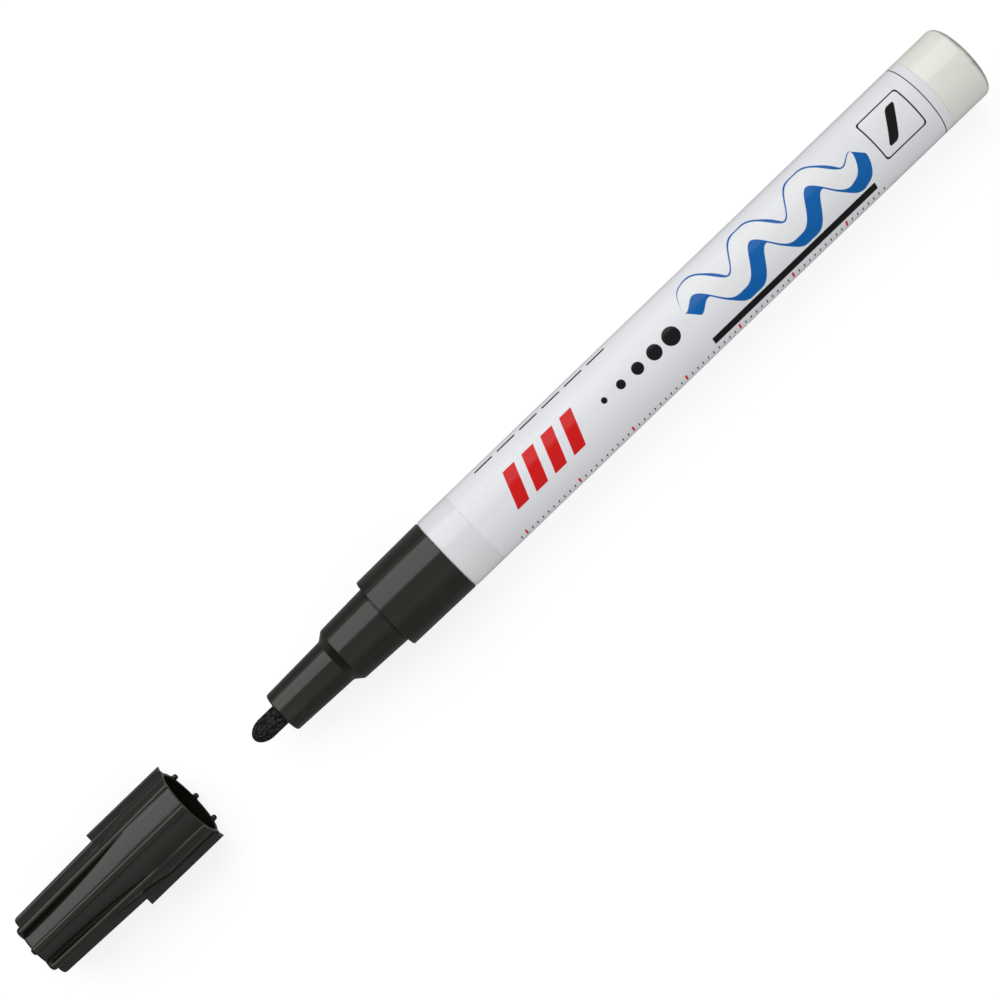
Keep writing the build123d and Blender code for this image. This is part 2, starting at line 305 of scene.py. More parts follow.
# %% A tool for node groups
def new_group(name, inputs, outputs):
    """An empty group; an input is a number, or None for a vector. Gives tree, inputs and end node."""
    tree = bpy.data.node_groups.new(name, "ShaderNodeTree")
    for label, number in inputs.items():
        kind = "NodeSocketVector" if number is None else "NodeSocketFloat"
        socket = tree.interface.new_socket(name=label, in_out="INPUT", socket_type=kind)
        if number is not None:
            socket.default_value = number
    for label in outputs:
        tree.interface.new_socket(name=label, in_out="OUTPUT", socket_type="NodeSocketFloat")
    start = tree.nodes.new("NodeGroupInput")
    end = tree.nodes.new("NodeGroupOutput")
    print("new group:", name)
    return tree, [Value(start.outputs[label]) for label in inputs], end


def place_group(group, **values):
    """Put a group into the tree of the values that feed it; gives what comes out of it, by name."""
    tree = next(value.tree for value in values.values() if isinstance(value, Value))
    node = feed(add_node(tree, "Group", node_tree=group), **values)
    return {output.name: Value(output) for output in node.outputs}


print("group tools ready")

# %% [markdown]
# Everything on a marker runs along it or round it, so the first group turns a position into
# turned coordinates in millimetres: along the axis, round the surface of the barrel, and out
# from the axis.

# %% Group: turned coordinates
def hypotenuse(first, second):
    """How far a point lies away, from its distances in two directions."""
    return (first * first + second * second).math("SQRT")


TURNED, (position,), end = new_group("turned_coordinates", {"Position": None}, ["Along", "Around", "Out"])
along, side, lift = [part / MM for part in position.parts()]
height = lift - AXIS_Z
feed(end, Along=along, Around=side.math("ARCTAN2", height) * BARREL_R, Out=hypotenuse(side, height))

# %% [markdown]
# Moulded plastic is never quite even. The mould leaves a fine grain, and the plastic cools with a
# faint mottle some millimetres across. The grain feeds a bump, the mottle colour and roughness.

# %% Group: moulded grain
def noise(position, scale, detail=2.0, distortion=0.0):
    """The value of a noise texture."""
    node = add_node(position.tree, "TexNoise")
    feed(node, Vector=position, Scale=scale, Detail=detail, Distortion=distortion)
    return Value(node.outputs[0])


MOULDED, (position, grains, mottles), end = new_group(
    "moulded_grain",
    {"Position": None, "Grain per metre": 9000.0, "Mottle per metre": 320.0},
    ["Grain", "Mottle"],
)
mottle = noise(position, mottles, detail=4.0).spread(0.32, 0.68)
feed(end, Grain=noise(position, grains), Mottle=mottle)

# %% [markdown]
# A marker lives in a drawer with other tools, so its shiny pieces carry hair-fine rubs, mostly
# along their length. A noise that is stretched along the axis has long, thin level lines, and a
# narrow band round one level picks out a few of them.

# %% Group: fine rubs
RUB_STRETCH = (60.0, 900.0, 900.0)
RUB_TURN = math.radians(4)
RUB_PATCHES_PER_METRE = 140.0


def stretch(position, scale, turn=0.0):
    """A position scaled along each axis and turned about Z."""
    node = add_node(position.tree, "Mapping")
    feed(node, Vector=position, Scale=scale, Rotation=(0.0, 0.0, turn))
    return Value(node.outputs[0])


RUBS, (position, width), end = new_group("fine_rubs", {"Position": None, "Width": 0.02}, ["Rub"])
long_noise = noise(stretch(position, RUB_STRETCH, RUB_TURN), 1.0, detail=3.0)
line = (abs(long_noise - 0.5) / width).spread(0.0, 1.0, 1.0, 0.0)
patch = noise(position, RUB_PATCHES_PER_METRE).spread(0.5, 0.7)
feed(end, Rub=line * patch)

# %% [markdown]
# Every finish starts the same way: a material with a Principled shader, the position on the
# object, and a bump that takes a height in millimetres.

# %% Start of a finish
def start_finish(name, slot_colour, roughness):
    """A material with its shader; gives both and the position."""
    material = bpy.data.materials.new(name)
    material.use_nodes = True
    material.diffuse_color = rgb(*slot_colour)
    tree = material.node_tree
    shader = feed(tree.nodes["Principled BSDF"], Roughness=roughness)
    position = Value(add_node(tree, "TexCoord").outputs["Object"])
    return material, shader, position


def raise_surface(shader, height_mm):
    """Bump the surface by a height in millimetres."""
    bump = add_node(height_mm.tree, "Bump")
    feed(bump, Strength=1.0, Distance=MM, Height=height_mm)
    feed(shader, Normal=Value(bump.outputs[0]))


print("finish starter ready")

# %% [markdown]
# The nose and the cap are moulded in the same satin black plastic. It is a warm black, its gloss
# varies with the mottle, and the fine rubs are a little paler and duller. The same function makes
# both finishes, because the cap is handled more and gets more rubs.

# %% Finish: black plastic
BLACK_SHADE = rgb(0.0072, 0.0068, 0.0048)
BLACK_LIGHT = rgb(0.0092, 0.0086, 0.0062)
RUBBED_BLACK = rgb(0.05, 0.049, 0.046)
BLACK_ROUGHNESS, RUB_ROUGHNESS = (0.11, 0.16), 0.2
BLACK_IOR = 1.48
BLACK_GRAIN = 0.0016


def black_plastic(name, rub_strength):
    """Satin black plastic with stronger or weaker rubs."""
    material, shader, position = start_finish(name, (0.022, 0.021, 0.019), 0.14)
    grain = place_group(MOULDED, Position=position)
    rub = place_group(RUBS, Position=position)["Rub"] * rub_strength
    body = grain["Mottle"].blend(BLACK_SHADE, BLACK_LIGHT)
    satin = grain["Mottle"].between(*BLACK_ROUGHNESS) + rub * RUB_ROUGHNESS
    feed(shader, Base_Color=rub.blend(body, RUBBED_BLACK), Roughness=satin, IOR=BLACK_IOR)
    raise_surface(shader, grain["Grain"] * BLACK_GRAIN)
    return material


NOSE_FINISH = black_plastic("nose_black", 0.35)
CAP_FINISH = black_plastic("cap_black", 0.6)
print("black plastic ready")

# %% [markdown]
# The barrel is a white gloss tube and the tail a plug of natural, slightly ivory plastic. Both are
# pale and hard, so one recipe serves: a colour that drifts a little, and a gloss with fine rubs.
# Near its end, the tail's rim is painted dark grey as shade where it leans towards the dark room beyond;
# the painted shade has uneven edges and a patchy cover.

# %% Finish: white barrel and ivory tail
PALE_ROUGHNESS, PALE_RUB_ROUGHNESS = 0.08, 0.12
PALE_GRAIN = 0.0012
# Painted shade on the tail's rim: its grey, how far it reaches, and how uneven and patchy it is.
RIM_SHADE_GREY = rgb(0.2, 0.2, 0.21)
RIM_SHADE_LENGTH, RIM_SHADE_FADE, RIM_SHADE_SWAY = 0.8, 0.5, 0.12
RIM_SHADE_RADII, RIM_SHADE_COVER = (4.6, 5.2), (0.6, 0.85)


def rim_shade_mask(position, start):
    """Where the rim beyond a station gets painted shade, with uneven edges and a patchy cover."""
    turned = place_group(TURNED, Position=position)
    rim_shade_noise = place_group(MOULDED, Position=position, Grain_per_metre=700.0, Mottle_per_metre=350.0)
    sway = rim_shade_noise["Mottle"].spread(0.3, 0.7, -RIM_SHADE_SWAY, RIM_SHADE_SWAY)
    on_rim = (turned["Along"] + sway).spread(start, start + RIM_SHADE_FADE)
    off_face = (turned["Out"] + sway).spread(*RIM_SHADE_RADII)
    return on_rim * off_face * rim_shade_noise["Grain"].spread(0.35, 0.6, *RIM_SHADE_COVER)


def pale_plastic(name, light, shade, shaded_rim_from=None):
    """Hard pale plastic; where a station is given, the rim beyond it gets a painted grey shade."""
    material, shader, position = start_finish(name, light, PALE_ROUGHNESS)
    grain = place_group(MOULDED, Position=position, Grain_per_metre=6000.0, Mottle_per_metre=180.0)
    rub = place_group(RUBS, Position=position, Width=0.014)["Rub"]
    colour = grain["Mottle"].blend(rgb(*shade), rgb(*light))
    # The rim beyond the station is painted darker grey as shade.
    if shaded_rim_from is not None:
        colour = rim_shade_mask(position, shaded_rim_from).blend(colour, RIM_SHADE_GREY)
    polish = grain["Mottle"].between(PALE_ROUGHNESS * 0.85, PALE_ROUGHNESS * 1.15)
    feed(shader, Base_Color=colour, Roughness=polish + rub * PALE_RUB_ROUGHNESS)
    raise_surface(shader, grain["Grain"] * PALE_GRAIN)
    return material


BARREL_FINISH = pale_plastic("barrel_white", (0.775, 0.785, 0.815), (0.755, 0.765, 0.80))
# The tail's rim near its end gets the painted grey shade.
TAIL_FINISH = pale_plastic(
    "tail_ivory", (0.80, 0.815, 0.765), (0.775, 0.79, 0.735), TAIL_HIGH.x - RIM_SHADE_LENGTH
)
print("pale plastics ready")

# %% [markdown]
# The nib is a rod of bonded fibres, soaked with black paint. The fibres run along it, so a noise
# that is stretched along the axis gives their ridges, and a pattern of cells the tufts between
# clots of paint. The tufts shine a little, and the hollows between them stay black.

# %% Finish: fibre nib
FIBRE_STRETCH, FIBRE_TANGLE = (0.5, 1.0, 1.0), 0.7
FIBRE_RELIEF = 0.04
FIBRE_GLOSS, FIBRE_IOR = 0.2, 1.38
CLOTS_PER_FIBRE = 0.8


def fibre_finish(name, colour, paint, fibres_per_metre):
    """Fibres along the axis, in tufts between clots of paint."""
    material, shader, position = start_finish(name, colour, 0.55)
    run = stretch(position, FIBRE_STRETCH)
    ridge = noise(run, fibres_per_metre, detail=3.0, distortion=FIBRE_TANGLE).spread(0.36, 0.6)
    clot = add_node(run.tree, "TexVoronoi")
    feed(clot, Vector=run, Scale=fibres_per_metre * CLOTS_PER_FIBRE)
    tuft = Value(clot.outputs["Distance"]).spread(0.2, 0.65, 1.0, 0.1)
    dry = (ridge * tuft).blend(rgb(*paint), rgb(*colour))
    feed(shader, Base_Color=dry, Roughness=tuft.between(0.7, 0.38))
    feed(shader, IOR=FIBRE_IOR, Specular_IOR_Level=FIBRE_GLOSS)
    raise_surface(shader, (ridge + tuft) * FIBRE_RELIEF)
    return material


NIB_FINISH = fibre_finish("nib_fibre", (0.055, 0.053, 0.051), (0.001, 0.001, 0.001), 4000.0)
WICK_FINISH = fibre_finish("wick_felt", (0.12, 0.12, 0.12), (0.05, 0.05, 0.05), 2600.0)
print("fibre ready")

# %% [markdown]
# The label is a printed film. Its design is generic: red slanted bars, a row of growing dots, a
# white wave with a blue shadow, a black bar, a thin-line frame with one stroke in it, and fine
# ticks and dashes along the sides. All of it is drawn with masks. The first mask is a bar with
# rounded corners, which also makes dots and frames; it measures how far a point lies outside.

# %% Group: printed bar
EDGE_BLUR = 0.035


def ink_inside(past_edge):
    """A mask that is set where a point isn't past the edge, with a slightly soft edge."""
    return past_edge.spread(EDGE_BLUR, -EDGE_BLUR)


PRINTED_BAR, given, end = new_group(
    "printed_bar",
    {"Along": 0.0, "Around": 0.0, "Middle along": 0.0, "Middle around": 0.0,
     "Half length": 1.0, "Half width": 1.0, "Corner": 0.0, "Slant": 0.0},
    ["Mask"],
)
along, around, middle_along, middle_around, half_length, half_width, corner, slant = given
across = around - middle_around
forward = along - middle_along - across * slant
past_end = abs(forward) - half_length
past_side = abs(across) - half_width
outside = hypotenuse(past_end.at_least(0.0), past_side.at_least(0.0))
inside = past_end.at_least(past_side).at_most(0.0)
feed(end, Mask=ink_inside(outside + inside - corner))

# %% [markdown]
# The second mask is a wavy ribbon, like the stroke of a broad nib. The distance to its middle line
# allows for the slope of the wave, so that the ribbon is equally wide on the slopes and the
# crests, and it tapers to a point at both ends.

# %% Group: printed wave
PRINTED_WAVE, given, end = new_group(
    "printed_wave",
    {"Along": 0.0, "Around": 0.0, "Start": 0.0, "End": 10.0, "Middle around": 0.0,
     "Swing": 1.0, "Wave length": 10.0, "Half width": 1.0, "Taper": 4.0},
    ["Mask"],
)
along, around, start, stop, middle_around, swing, wave_length, half_width, taper = given
from_start = along - start
phase = from_start / wave_length * math.tau
crest = phase.math("SINE") * swing
slope = phase.math("COSINE") * (swing * math.tau / wave_length)
distance = abs(around - middle_around - crest) / hypotenuse(slope, 1.0)
ends = from_start.at_most(stop - along).math("DIVIDE", taper, clamp=True).math("SQRT")
ribbon = ink_inside(distance - half_width * ends)
feed(end, Mask=ribbon * ends.math("GREATER_THAN", 0.0))

# %% [markdown]
# The third mask is a row of ticks: the distance to the nearest whole pitch, cut to a band.

# %% Group: printed ticks
PRINTED_TICKS, (along, band, pitch, half_tick), end = new_group(
    "printed_ticks", {"Along": 0.0, "Band": 1.0, "Pitch": 1.0, "Half tick": 0.1}, ["Mask"]
)
steps = along / pitch
nearest = abs(steps - steps.math("ROUND"))
feed(end, Mask=ink_inside(nearest * pitch - half_tick) * band)

# %% [markdown]
# Now the print itself. Each motif is one mask and one ink, laid over what is there. Places are in
# millimetres: along the barrel from the frame's origin, and round it from the top, with plus on
# the far side. The film mirrors less than the plastic, which keeps the inks deep.

# %% Film and inks of the label
FILM = rgb(0.82, 0.835, 0.875)
FILM_SHADE = rgb(0.805, 0.82, 0.865)
INK_RED = rgb(0.66, 0.005, 0.006)
INK_BLUE = rgb(0.0, 0.118, 0.42)
INK_BLACK = rgb(0.004, 0.004, 0.005)
INK_WHITE = rgb(0.84, 0.85, 0.88)

LABEL_FINISH, shader, position = start_finish("label_print", (0.78, 0.80, 0.85), 0.11)
turned = place_group(TURNED, Position=position)
on_label = {"Along": turned["Along"], "Around": turned["Around"]}
film = place_group(MOULDED, Position=position, Grain_per_metre=5000.0, Mottle_per_metre=120.0)
colour = film["Mottle"].blend(FILM_SHADE, FILM)
inked = []


def lay_ink(colour_so_far, ink, mask):
    """Lay one motif over the colours so far."""
    inked.append(mask)
    return mask.blend(colour_so_far, ink)


def bar_mask(place, line, half_length, half_width, corner=0.0, slant=0.0):
    """The mask of one bar on the label, at a place along it and a line round it."""
    return place_group(
        PRINTED_BAR, **on_label, Middle_along=place, Middle_around=line,
        Half_length=half_length, Half_width=half_width, Corner=corner, Slant=slant,
    )["Mask"]


print("film ready for its print")

# %% [markdown]
# The bars and the dots come first. A dot is a bar of no length and no width whose corner is all
# that is left of it.

# %% Bars and dots of the print
TOP_LINE = 0.2


def print_row(colour_so_far, ink, line, count, start, pitch, corner, growth=0.0, **shape):
    """Lay a row of bars over the colours so far; their corners may grow along the row."""
    for index in range(count):
        mask = bar_mask(start + pitch * index, line, corner=corner + growth * index, **shape)
        colour_so_far = lay_ink(colour_so_far, ink, mask)
    return colour_so_far


colour = print_row(
    colour, INK_RED, TOP_LINE, count=4, start=3.2, pitch=3.5,
    half_length=0.95, half_width=2.5, corner=0.12, slant=0.38,
)
colour = print_row(
    colour, INK_BLACK, TOP_LINE, count=5, start=19.6, pitch=3.1,
    half_length=0.0, half_width=0.0, corner=0.45, growth=0.22,
)
print("motifs laid so far:", len(inked))

# %% [markdown]
# The wave has a thick blue shadow, as if it were cut from a board. The same ribbon, a little
# wider, is printed in blue again and again, each time slipped a step along and down, and the
# white ribbon goes on top.

# %% Wave and black bar of the print
WAVE_START, WAVE_END, WAVE_LINE = 35.4, 66.4, 1.35
WAVE_HALF_WIDTH, SHADOW_HALF_WIDTH = 1.36, 1.62
SHADOW_STEPS, SHADOW_SLIP, SHADOW_DROP = 12, 0.12, 1.15


def wave_mask(slip, half_width):
    """The mask of the wavy ribbon, slipped along and down."""
    return place_group(
        PRINTED_WAVE, **on_label, Start=WAVE_START + slip, End=WAVE_END + slip,
        Middle_around=WAVE_LINE - SHADOW_DROP * slip, Half_width=half_width,
        Swing=2.1, Wave_length=10.4, Taper=3.0,
    )["Mask"]


for index in range(SHADOW_STEPS):
    colour = lay_ink(colour, INK_BLUE, wave_mask(SHADOW_SLIP * index, SHADOW_HALF_WIDTH))
colour = lay_ink(colour, INK_WHITE, wave_mask(0.0, WAVE_HALF_WIDTH))
long_bar = bar_mask(51.0, -4.9, half_length=15.0, half_width=0.5, corner=0.15)
colour = lay_ink(colour, INK_BLACK, long_bar)
print("motifs laid so far:", len(inked))

# %% [markdown]
# Lines come last: the frame near the tail is a dark bar with a slightly smaller bar of bare film
# in it, a thin ring marks where the film ends, and a scale of ticks and a row of dashes run along
# the two sides.

# %% Frame, ring and ticks of the print
FRAME_PLACE, FRAME_HALF_LENGTH, FRAME_HALF_WIDTH, FRAME_CORNER = 73.0, 3.2, 2.9, 0.5
LINE_WIDTH = 0.22
RING_PLACE, FULL_TURN = LABEL_HIGH.x - 1.4, math.pi * BARREL_R
SCALE_MIDDLE, SCALE_HALF_LENGTH = 33.0, 34.2

for ink, inset in ((INK_BLACK, 0.0), (FILM, LINE_WIDTH)):
    frame_size = (FRAME_HALF_LENGTH - inset, FRAME_HALF_WIDTH - inset)
    colour = lay_ink(colour, ink, bar_mask(FRAME_PLACE, TOP_LINE, *frame_size, FRAME_CORNER))
stroke = bar_mask(FRAME_PLACE, TOP_LINE, 0.35, 1.7, corner=FRAME_CORNER, slant=0.7)
ring = bar_mask(RING_PLACE, 0.0, LINE_WIDTH / 3, FULL_TURN)
for mask in (stroke, ring):
    colour = lay_ink(colour, INK_BLACK, mask)

for ink, line, half_width, pitch, half_tick in (
    (INK_BLACK, -6.9, 0.42, 1.0, 0.09),
    (INK_RED, -6.7, 0.75, 10.0, 0.16),
):
    band = bar_mask(SCALE_MIDDLE, line, SCALE_HALF_LENGTH, half_width)
    ticks = place_group(
        PRINTED_TICKS, Along=turned["Along"], Band=band, Pitch=pitch, Half_tick=half_tick
    )["Mask"]
    colour = lay_ink(colour, ink, ticks)
colour = print_row(
    colour, INK_BLACK, 6.6, count=6, start=2.0, pitch=4.2,
    half_length=1.55, half_width=0.14, corner=0.08,
)
print("print finished with", len(inked), "motifs")

# %% [markdown]
# The ink layer has a thickness of its own and is a little duller than the film, so all masks
# together also lift the surface and raise the roughness.

# %% Gloss and relief of the label
FILM_GLOSS = 0.22
FILM_ROUGHNESS, FILM_RUB_ROUGHNESS, INK_ROUGHNESS = (0.09, 0.12), 0.1, 0.05
FILM_GRAIN, INK_HEIGHT = 0.001, 0.004

ink_layer = inked[0]
for mask in inked[1:]:
    ink_layer = ink_layer.at_least(mask)
rub = place_group(RUBS, Position=position, Width=0.012)["Rub"]
satin = film["Mottle"].between(*FILM_ROUGHNESS) + rub * FILM_RUB_ROUGHNESS
feed(shader, Base_Color=colour, Roughness=satin + ink_layer * INK_ROUGHNESS, Specular_IOR_Level=FILM_GLOSS)
raise_surface(shader, ink_layer * INK_HEIGHT + film["Grain"] * FILM_GRAIN)
print("label ready")

# %% [markdown]
# The pieces inside have simple finishes: rubber, felt, natural and black plastic, and two kinds of
# steel. They show only when the marker is taken apart, but a part for a library should be whole.

# %% Finishes of the inner pieces
def inner_finish(name, light, shade, roughness, metal=0.0, grain_height=0.002):
    """A plain finish with a mottled colour and gloss and a fine grain."""
    material, shader, position = start_finish(name, light, roughness)
    grain = place_group(MOULDED, Position=position, Grain_per_metre=7000.0, Mottle_per_metre=500.0)
    colour = grain["Mottle"].blend(rgb(*shade), rgb(*light))
    sheen = grain["Mottle"].between(roughness * 0.8, roughness * 1.2)
    feed(shader, Base_Color=colour, Roughness=sheen, Metallic=metal)
    raise_surface(shader, grain["Grain"] * grain_height)
    return material


RUBBER = inner_finish("seal_rubber", (0.05, 0.05, 0.05), (0.035, 0.035, 0.035), 0.6, grain_height=0.006)
NATURAL = inner_finish("valve_natural", (0.80, 0.80, 0.78), (0.75, 0.75, 0.72), 0.35)
LINER = inner_finish("liner_black", (0.03, 0.03, 0.03), (0.02, 0.02, 0.02), 0.35)
WIRE = inner_finish("spring_wire", (0.64, 0.64, 0.65), (0.56, 0.56, 0.57), 0.28, metal=1.0)
POLISHED = inner_finish(
    "ball_polish", (0.70, 0.70, 0.71), (0.64, 0.64, 0.65), 0.08, metal=1.0, grain_height=0.0004
)

INNER_FINISHES = {
    "nose_seal": RUBBER,
    "valve_seat": RUBBER,
    "nib_wick": WICK_FINISH,
    "valve_stem": NATURAL,
    "spring_cup": NATURAL,
    "mixing_ball": POLISHED,
    "cap_liner": LINER,
}
for node, finish in INNER_FINISHES.items():
    solid = frame["nodes"][node]
    solid.data.materials.clear()
    solid.data.materials.append(finish)
print("inner pieces finished:", len(INNER_FINISHES))

# %% [markdown]
# Most pieces of a marker are turned: one outline, swept round the axis. An outline is drawn point
# by point with a vertex that is extruded from corner to corner, its corners are rounded with a
# vertex bevel, and Spin makes the solid. The ends of the outline lie on the axis, or meet each
# other when the piece is a tube.

# %% Tools for turned pieces
TURN_STEPS = 160
CORNER_STEPS, FEW_STEPS = 5, 2
WELD = 0.0008 * MM
SMOOTH_BELOW = math.radians(33)


def spot(along, out):
    """A point above the axis, in metres."""
    return Vector((along, 0.0, AXIS_Z + out)) * MM


def leave_edit_mode():
    """Back to object mode with nothing selected."""
    if bpy.context.object and bpy.context.object.mode == "EDIT":
        bpy.ops.object.mode_set(mode="OBJECT")
    bpy.ops.object.select_all(action="DESELECT")


def name_piece(name):
    """Name the active object and its mesh."""
    piece = bpy.context.object
    piece.name = name
    piece.data.name = name
    return piece


def edit_piece(name):
    """Name the new object, keep its place in its mesh and enter edit mode."""
    piece = name_piece(name)
    bpy.ops.object.transform_apply(location=True, rotation=True, scale=True)
    bpy.ops.object.mode_set(mode="EDIT")
    return piece


def draw_line(name, places):
    """Draw a line from place to place and stay in edit mode."""
    leave_edit_mode()
    bpy.ops.mesh.primitive_plane_add(size=MM)
    piece = edit_piece(name)
    bpy.ops.mesh.select_mode(type="VERT")
    bpy.ops.mesh.merge(type="CENTER")
    bpy.ops.transform.translate(value=places[0])
    for here, there in zip(places, places[1:]):
        bpy.ops.mesh.extrude_vertices_move(TRANSFORM_OT_translate={"value": there - here})
    return piece


def select_where(piece, test):
    """Select the vertices that pass a test, and what lies between them."""
    bpy.ops.mesh.select_mode(type="VERT")
    bpy.ops.mesh.select_all(action="DESELECT")
    mesh = bmesh.from_edit_mesh(piece.data)
    for vertex in mesh.verts:
        if test(vertex.co):
            vertex.select = True
    mesh.select_flush(True)
    bmesh.update_edit_mesh(piece.data)


def select_whole():
    """Select the whole mesh."""
    bpy.ops.mesh.select_all(action="SELECT")


def face_outwards():
    """Turn all faces of the mesh outwards."""
    select_whole()
    bpy.ops.mesh.normals_make_consistent(inside=False)


def turn_piece(name, points, rounds=(), steps=TURN_STEPS):
    """Draw an outline of (along, out) points, round its corners and sweep it round the axis."""
    piece = draw_line(name, [spot(*point) for point in points])
    for corner, size, segments in rounds:
        place = spot(*corner)
        select_where(piece, lambda co: (co - place).length < WELD)
        bpy.ops.mesh.bevel(offset=size * MM, segments=segments, affect="VERTICES", clamp_overlap=False)
    select_whole()
    bpy.ops.mesh.spin(steps=steps, angle=math.tau, center=spot(0, 0), axis=(1, 0, 0))
    select_whole()
    bpy.ops.mesh.remove_doubles(threshold=WELD)
    face_outwards()
    return piece


def apply_modifier(piece, kind, **settings):
    """Give the active piece a modifier with its settings and apply it."""
    modifier = piece.modifiers.new(kind.lower(), kind)
    for name, setting in settings.items():
        setattr(modifier, name, setting)
    bpy.ops.object.modifier_apply(modifier=modifier.name)


def finish_piece(piece, body, node, finish):
    """Smooth a piece, give it its finish and put it in the frame."""
    leave_edit_mode()
    piece.select_set(True)
    bpy.context.view_layer.objects.active = piece
    bpy.ops.object.shade_smooth_by_angle(angle=SMOOTH_BELOW)
    piece.data.materials.clear()
    piece.data.materials.append(finish)
    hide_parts(node)
    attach(piece, body)
    print(f"{piece.name}: {len(piece.data.polygons)} faces on {body}")


print("turning tools ready")

# %% [markdown]
# The nib is a bullet: half an ellipse on a straight rod. Its rod reaches back through the nose to
# the valve. After spinning, every second row of points round it is drawn in by a hair, which
# gives the ridges of the fibre bundle a real shape.

# %% Nib
NIB_POINT = 2.4
NIB_POINT_STEPS = 12
FIBRE_ROWS = 36
FIBRE_DEPTH = 0.03
SMOOTH_TIP = 0.3

nib_outline = []
for step in range(NIB_POINT_STEPS + 1):
    turn = math.pi / 2 * step / NIB_POINT_STEPS
    nib_outline.append((NIB_LOW.x + NIB_POINT * (1 - math.cos(turn)), NIB_R * math.sin(turn)))
nib_outline += [(NIB_HIGH.x, NIB_R), (NIB_HIGH.x, 0.0)]
nib = turn_piece("nib_bullet", nib_outline, steps=2 * FIBRE_ROWS)


def in_fibre_groove(co):
    """True on every second row of points round the nib, away from the tip."""
    offset = co - spot(0, 0)
    out = math.hypot(offset.y, offset.z)
    row = math.atan2(offset.y, offset.z) / math.tau * 2 * FIBRE_ROWS
    return out > SMOOTH_TIP * NIB_R * MM and round(row) % 2 == 1


select_where(nib, in_fibre_groove)
groove_scale = 1 - FIBRE_DEPTH / NIB_R
bpy.ops.transform.resize(value=(1, groove_scale, groove_scale), center_override=spot(0, 0))
finish_piece(nib, "plunger", "nib", NIB_FINISH)

# %% [markdown]
# The nose is one moulding: a slim tip, a cone, a step and a collar as wide as the barrel, with a
# fine relief groove in front of the collar, and behind it the spigot that is pressed into the
# barrel, with a groove for its seal. Inside is the way for the nib, the valve and the paint.

# %% Nose
TIP_FRONT_R, TIP_REAR_R, TIP_LENGTH = 3.2, 3.52, 10.3
CONE_LENGTH = 1.2
STEP_FRONT_R, STEP_REAR_R, STEP_LENGTH = 4.45, 4.72, 8.0
COLLAR_FRONT_R = 5.75
RELIEF_WIDTH, RELIEF_DEPTH = 0.2, 0.15
SPIGOT_R, SPIGOT_BORE, SEAL_GROOVE_R = 5.03, 4.23, 4.48
SEAT_BORE, WICK_BORE, NIB_HOLE = 3.7, 2.48, 1.66
SEAT_BORE_LENGTH, NIB_HOLE_LENGTH = 7.0, 2.0
SEAL_SLACK = 0.02

nose_front = NOSE_LOW.x
tip_rear = nose_front + TIP_LENGTH
cone_rear = tip_rear + CONE_LENGTH
collar_front = cone_rear + STEP_LENGTH
collar_rear = BARREL_LOW.x
seal_low, seal_high = box_mm("nose_seal")
seat_low = box_mm("valve_seat")[0]
seat_bore_rear = seat_low.x + SEAT_BORE_LENGTH
groove_front, groove_rear = seal_low.x - SEAL_SLACK, seal_high.x + SEAL_SLACK

tip_corner = (nose_front, TIP_FRONT_R)
cone_root = (tip_rear, TIP_REAR_R)
cone_top = (cone_rear, STEP_FRONT_R)
step_back = (collar_front - RELIEF_WIDTH, STEP_REAR_R)
collar_corner = (collar_front, COLLAR_FRONT_R)
collar_back = (collar_rear, BARREL_R)
nose_outline = [
    (nose_front, NIB_HOLE), tip_corner, cone_root, cone_top, step_back,
    (collar_front - RELIEF_WIDTH, STEP_REAR_R - RELIEF_DEPTH),
    (collar_front, STEP_REAR_R - RELIEF_DEPTH), collar_corner, collar_back,
    (collar_rear, SPIGOT_R), (groove_front, SPIGOT_R), (groove_front, SEAL_GROOVE_R),
    (groove_rear, SEAL_GROOVE_R), (groove_rear, SPIGOT_R), (NOSE_HIGH.x, SPIGOT_R),
    (NOSE_HIGH.x, SPIGOT_BORE), (seat_bore_rear, SPIGOT_BORE), (seat_bore_rear, SEAT_BORE),
    (seat_low.x, SEAT_BORE), (seat_low.x, WICK_BORE), (nose_front + NIB_HOLE_LENGTH, WICK_BORE),
    (nose_front + NIB_HOLE_LENGTH, NIB_HOLE), (nose_front, NIB_HOLE),
]
NOSE_ROUNDS = (
    (tip_corner, 0.32, CORNER_STEPS), (cone_root, 0.22, CORNER_STEPS), (cone_top, 0.26, CORNER_STEPS),
    (step_back, 0.06, FEW_STEPS), (collar_corner, 0.2, CORNER_STEPS), (collar_back, 0.08, FEW_STEPS),
)
nose = turn_piece("nose_moulding", nose_outline, NOSE_ROUNDS)
finish_piece(nose, "marker", "nose_section", NOSE_FINISH)

# %% [markdown]
# The barrel is a plain tube. Its front end is bare and as wide as the collar, and behind that the
# wall is turned down by the thickness of the label, so that the film lies flush.

# %% Barrel
BARREL_BORE = 5.05
LABEL_DEPTH, LABEL_GAP = 0.1, 0.01
LABEL_SEAT = BARREL_R - LABEL_DEPTH
BARREL_ROUND, SEAT_ROUND = 0.42, 0.05

label_front = LABEL_LOW.x - LABEL_GAP
barrel_edge = (BARREL_LOW.x, BARREL_R)
barrel_outline = [
    (BARREL_LOW.x, BARREL_BORE), barrel_edge, (label_front, BARREL_R), (label_front, LABEL_SEAT),
    (BARREL_HIGH.x, LABEL_SEAT), (BARREL_HIGH.x, BARREL_BORE), (BARREL_LOW.x, BARREL_BORE),
]
barrel_rounds = (
    (barrel_edge, BARREL_ROUND, CORNER_STEPS), ((label_front, BARREL_R), SEAT_ROUND, FEW_STEPS)
)
barrel = turn_piece("barrel_tube", barrel_outline, barrel_rounds)
finish_piece(barrel, "marker", "barrel", BARREL_FINISH)

# %% [markdown]
# The label is a sheet of film that is wrapped once round the barrel. Its last two millimetres lap
# over its beginning. The lap lies on the underside, away from the print, and stands proud by less
# than the film's thickness: the rows of points there are scaled out from the axis.

# %% Label
LAP_ANGLE = math.radians(138)
LAP_HALF = math.radians(10)
LAP_RISE = 0.05
FILM_ROUND = 0.03

